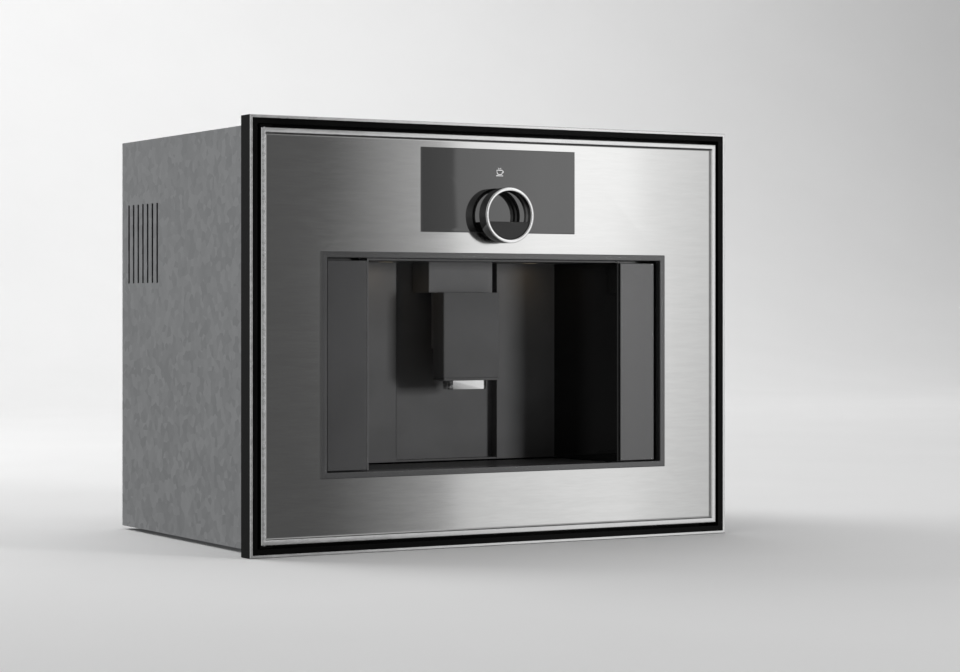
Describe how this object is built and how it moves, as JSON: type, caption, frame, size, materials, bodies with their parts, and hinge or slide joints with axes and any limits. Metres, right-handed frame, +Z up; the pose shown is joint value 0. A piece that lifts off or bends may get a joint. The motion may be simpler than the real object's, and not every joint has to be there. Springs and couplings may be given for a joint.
{
  "type": "built-in coffee machine",
  "caption": "Built-in coffee machine with a hinged steel door, cup niche, height-adjustable spout, control ring, water tank, drip tray and bean drawer.",
  "frame": {"origin": "middle of the bounding box seen from above, on the plane that the machine stands on", "axes": "+X along the width, the front looks along -Y, +Z up"},
  "size_m": [0.594, 0.4174, 0.455],
  "materials": {
    "polished_steel": "polished",
    "brushed_steel": "horizontal brushing",
    "gloss_black": "gloss",
    "anthracite": "satin",
    "trim_grey": "satin",
    "display_glass": "dark mirror gloss",
    "zinc_sheet": "zinc coated sheet",
    "black_plastic": "fine grain",
    "grey_plastic": "fine grain",
    "clear_tank": "clear",
    "rubber": "matt",
    "brass": "turned",
    "cast_metal": "die cast",
    "circuit_board": "solder mask",
    "lamp_lens": "frosted",
    "float_orange": "gloss"
  },
  "bodies": {
    "housing": {"frame_edge": "polished_steel", "frame_band": "gloss_black", "front_chassis": "zinc_sheet", "base_pan": "zinc_sheet", "side_left": "zinc_sheet", "side_right": "zinc_sheet", "top_cover": "zinc_sheet", "rear_cover": "zinc_sheet", "casing_screws": "polished_steel", "feet": "rubber", "niche_shell": "anthracite", "niche_side_panel": "gloss_black", "niche_lamps": "lamp_lens", "brew_cover": "anthracite", "spout_guide": "black_plastic", "hinge_brackets": "polished_steel", "hinge_pins": "polished_steel", "catch_magnets": "black_plastic", "tray_runners": "zinc_sheet", "tank_shelf": "zinc_sheet", "bean_shelf": "zinc_sheet", "inner_deck": "zinc_sheet", "tank_socket": "black_plastic", "pump": "cast_metal", "thermoblock": "cast_metal", "water_hoses": "grey_plastic", "brew_unit": "black_plastic", "brew_piston": "grey_plastic", "brew_drive": "grey_plastic", "grounds_funnel": "black_plastic", "grinder_body": "cast_metal", "grinder_motor": "cast_metal", "control_board": "circuit_board", "power_inlet": "black_plastic"},
    "door": {"door_rim": "polished_steel", "door_panel": "brushed_steel", "niche_trim": "trim_grey", "display_glass": "display_glass", "display_module": "black_plastic", "door_liner": "black_plastic", "door_bushings": "brass", "catch_plates": "polished_steel", "door_bumpers": "rubber", "ring_core": "trim_grey"},
    "ring": {"control_ring": "polished_steel"},
    "spout": {"spout_head": "anthracite", "spout_column": "anthracite", "spout_nozzle": "polished_steel", "outlet_tubes": "black_plastic"},
    "water_tank": {"tank_body": "clear_tank", "tank_lid": "black_plastic", "tank_front": "anthracite", "tank_valve": "grey_plastic"},
    "tray": {"drip_tray": "black_plastic", "drip_grid": "anthracite", "grounds_container": "grey_plastic", "tray_float": "float_orange"},
    "bean_drawer": {"bean_container": "black_plastic", "bean_lid": "gloss_black"}
  },
  "joints": [
    {"name": "door_swing", "type": "hinge", "parent": "housing", "child": "door", "pos_m": [-0.2775, -0.1813, 0.2275], "axis": [0, 0, -1], "range_deg": [0, 110]},
    {"name": "ring_turn", "type": "hinge", "parent": "door", "child": "ring", "pos_m": [0, -0.2012, 0.3563], "axis": [0, -1, 0], "continuous": true},
    {"name": "spout_slide", "type": "slide", "parent": "housing", "child": "spout", "axis": [0, 0, 1], "range_m": [-0.013, 0.067]},
    {"name": "tank_slide", "type": "slide", "parent": "housing", "child": "water_tank", "axis": [0, -1, 0], "range_m": [0, 0.18]},
    {"name": "tray_slide", "type": "slide", "parent": "housing", "child": "tray", "axis": [0, -1, 0], "range_m": [0, 0.18]},
    {"name": "bean_slide", "type": "slide", "parent": "housing", "child": "bean_drawer", "axis": [0, -1, 0], "range_m": [0, 0.15]}
  ],
  "couplings": [
    {"joint": "tank_slide", "follows": "door_swing", "m_per_rad": 0.09375},
    {"joint": "tray_slide", "follows": "door_swing", "m_per_rad": 0.09375},
    {"joint": "bean_slide", "follows": "door_swing", "m_per_rad": 0.078}
  ]
}
